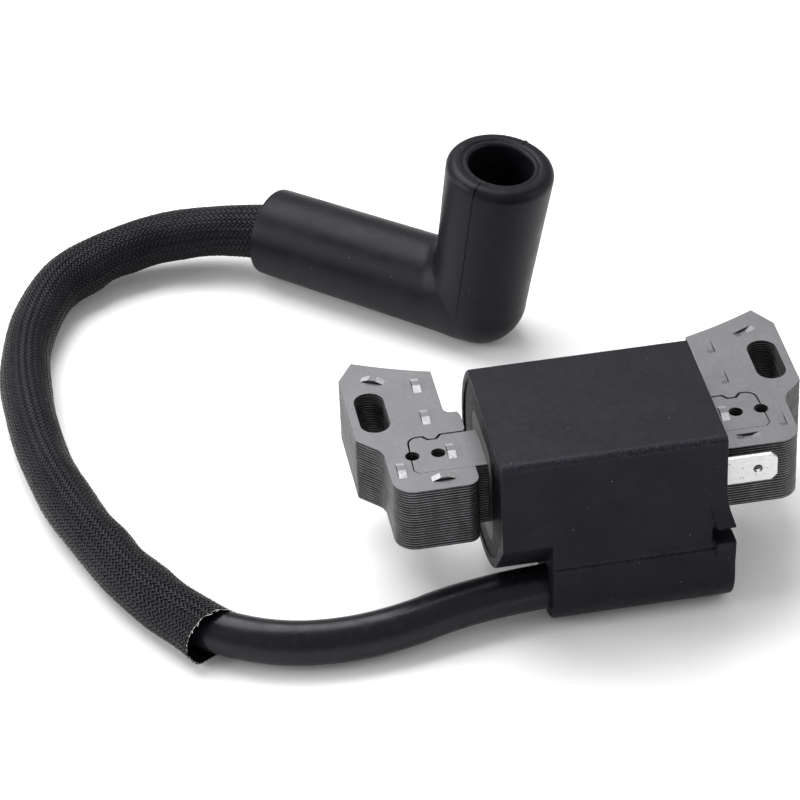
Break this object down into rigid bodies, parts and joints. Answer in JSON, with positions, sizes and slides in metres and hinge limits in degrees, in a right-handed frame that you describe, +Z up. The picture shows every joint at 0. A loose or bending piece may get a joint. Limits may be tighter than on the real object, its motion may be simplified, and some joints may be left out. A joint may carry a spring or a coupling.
{
  "type": "ignition coil",
  "caption": "Small engine ignition coil: laminated core with slotted lugs, potted case, kill blade, sleeved high-voltage lead and elbow spark plug boot.",
  "frame": {"origin": "on the surface the coil stands on, under the middle of the coil's own box", "axes": "+X along the core bar from the lead's side to the kill blade's side, +Y towards the flywheel, +Z up through the lamination stack"},
  "size_m": [0.123, 0.1197, 0.0371],
  "materials": {
    "core_steel": "bare rolled electrical steel, satin",
    "bobbin_plastic": "moulded",
    "copper": "enamelled copper",
    "tinned_steel": "tinned",
    "tinned_brass": "tin plated",
    "circuit_board": "solder resist",
    "component_black": "moulded",
    "capacitor_tan": "fired",
    "case_plastic": "fine moulded grain, low sheen",
    "potting": "cast epoxy",
    "boot_rubber": "moulded rubber, satin",
    "lead_jacket": "smooth extruded jacket",
    "sleeve_braid": "braided glass fibre, black coated"
  },
  "bodies": {
    "coil": {"left_pole_laminations": "core_steel", "right_pole_laminations": "core_steel", "core_bar_laminations": "core_steel", "primary_bobbin": "bobbin_plastic", "primary_winding": "copper", "secondary_bobbin": "bobbin_plastic", "secondary_winding": "copper", "primary_wires": "copper", "ground_pin": "tinned_steel", "ignition_circuit_board": "circuit_board", "power_transistor": "component_black", "trigger_transistor": "component_black", "trigger_capacitor": "capacitor_tan", "chip_resistors": "component_black", "kill_terminal": "tinned_brass", "hv_wire": "copper", "hv_spike": "tinned_brass", "coil_case": "case_plastic", "potting_compound": "potting", "lead_insulation": "lead_jacket", "lead_conductor": "copper", "braided_sleeve": "sleeve_braid"},
    "boot": {"spark_plug_boot": "boot_rubber", "plug_terminal": "tinned_steel"}
  },
  "joints": [
    {"name": "boot_swivel", "type": "hinge", "parent": "coil", "child": "boot", "pos_m": [-0.0046, 0.0595, 0.0077], "axis": [-0.749, 0.6626, 0], "range_deg": [-80, 80]}
  ]
}
